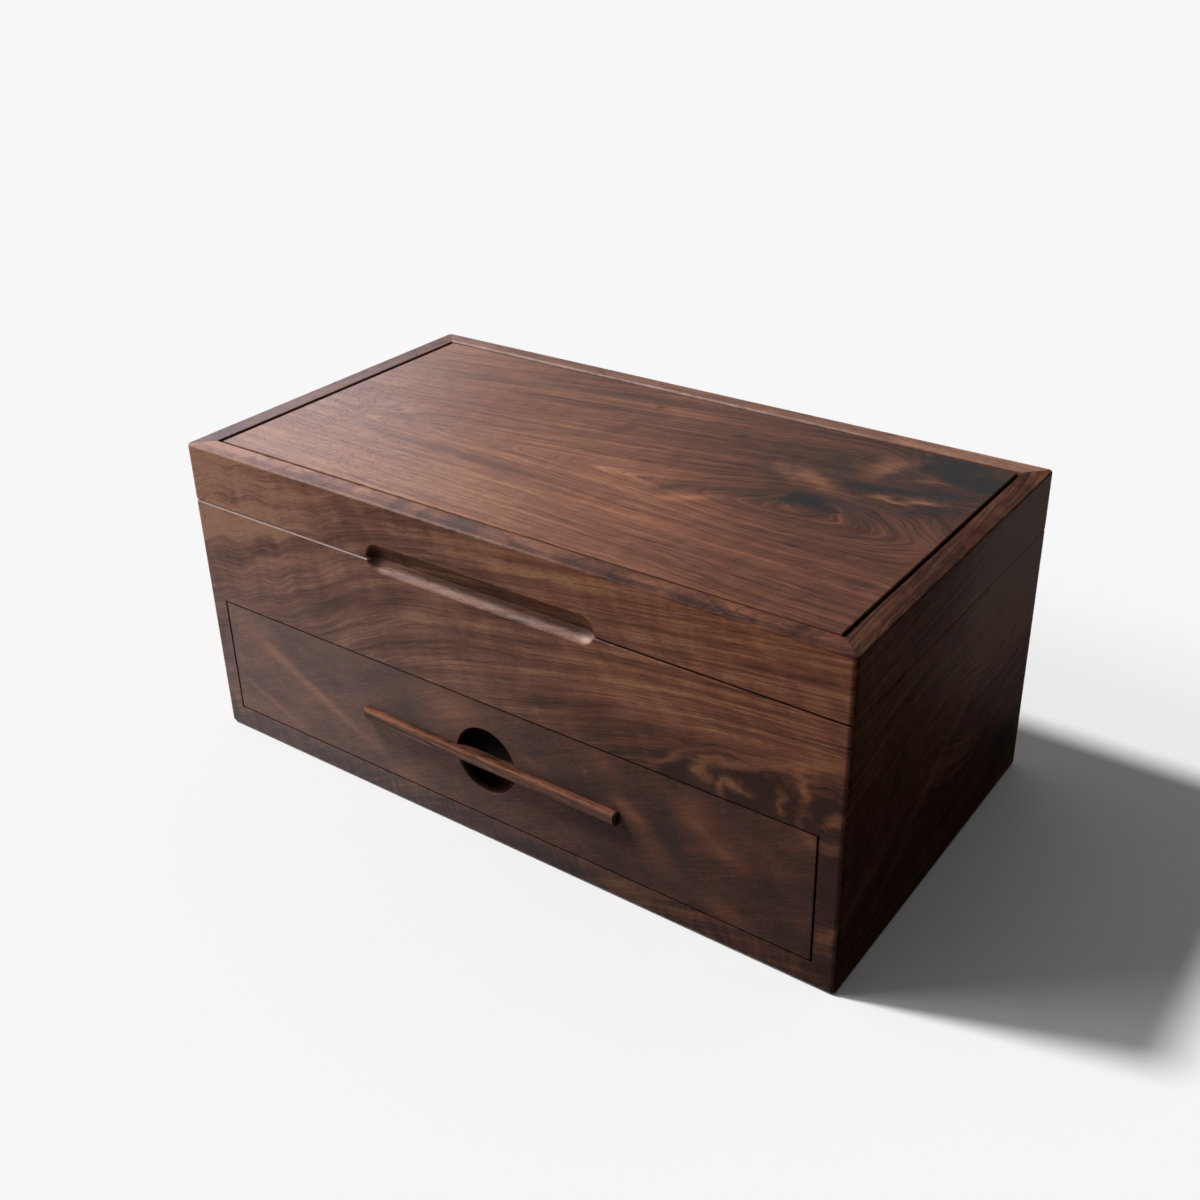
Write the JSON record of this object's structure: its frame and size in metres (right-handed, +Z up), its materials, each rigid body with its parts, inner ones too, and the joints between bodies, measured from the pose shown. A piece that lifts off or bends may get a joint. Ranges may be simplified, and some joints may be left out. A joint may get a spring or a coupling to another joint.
{
  "type": "valet box with drawer",
  "caption": "Walnut valet box: mitred case with an inset drawer on a bar pull, and a hinged panelled lid over a divided, lined compartment.",
  "frame": {"origin": "middle of the outline in plan, at the height of the surface that the box stands on", "axes": "+X to the right seen from the front, +Y to the back where the hinges are, +Z up"},
  "size_m": [0.38, 0.213, 0.17],
  "materials": {
    "walnut_case": "satin oil",
    "walnut_lid": "satin oil",
    "walnut_panel": "satin oil",
    "walnut_drawer_front": "satin oil",
    "walnut_pull": "satin oil",
    "walnut_drawer_box": "satin oil",
    "liner_suede": "napped suede cloth",
    "brass": "satin"
  },
  "bodies": {
    "case": {"case_front": "walnut_case", "case_back": "walnut_case", "case_left_side": "walnut_case", "case_right_side": "walnut_case", "case_bottom": "walnut_case", "compartment_floor": "walnut_case", "drawer_runner_left": "walnut_case", "drawer_runner_right": "walnut_case", "drawer_kicker_left": "walnut_case", "drawer_kicker_right": "walnut_case", "drawer_stops": "walnut_case", "long_divider": "walnut_case", "front_divider": "walnut_case", "back_divider": "walnut_case", "liner_front_left": "liner_suede", "liner_front_right": "liner_suede", "liner_back_left": "liner_suede", "liner_back_right": "liner_suede", "hinge_case_leaf_left": "brass", "hinge_case_leaf_right": "brass", "hinge_pin_left": "brass", "hinge_pin_right": "brass", "hinge_case_screws": "brass"},
    "lid": {"lid_front_rail": "walnut_lid", "lid_back_rail": "walnut_lid", "lid_left_rail": "walnut_lid", "lid_right_rail": "walnut_lid", "lid_panel": "walnut_panel", "hinge_lid_leaf_left": "brass", "hinge_lid_leaf_right": "brass", "hinge_lid_screws": "brass"},
    "drawer": {"drawer_front": "walnut_drawer_front", "drawer_left_side": "walnut_drawer_box", "drawer_right_side": "walnut_drawer_box", "drawer_back": "walnut_drawer_box", "drawer_bottom": "walnut_drawer_box", "drawer_liner": "liner_suede", "pull_bar": "walnut_pull"}
  },
  "joints": [
    {"name": "lid_hinge", "type": "hinge", "parent": "case", "child": "lid", "pos_m": [0, 0.1042, 0.13897], "axis": [-1, 0, 0], "range_deg": [0, 95]},
    {"name": "drawer_slide", "type": "slide", "parent": "case", "child": "drawer", "axis": [0, -1, 0], "range_m": [0, 0.15]}
  ]
}
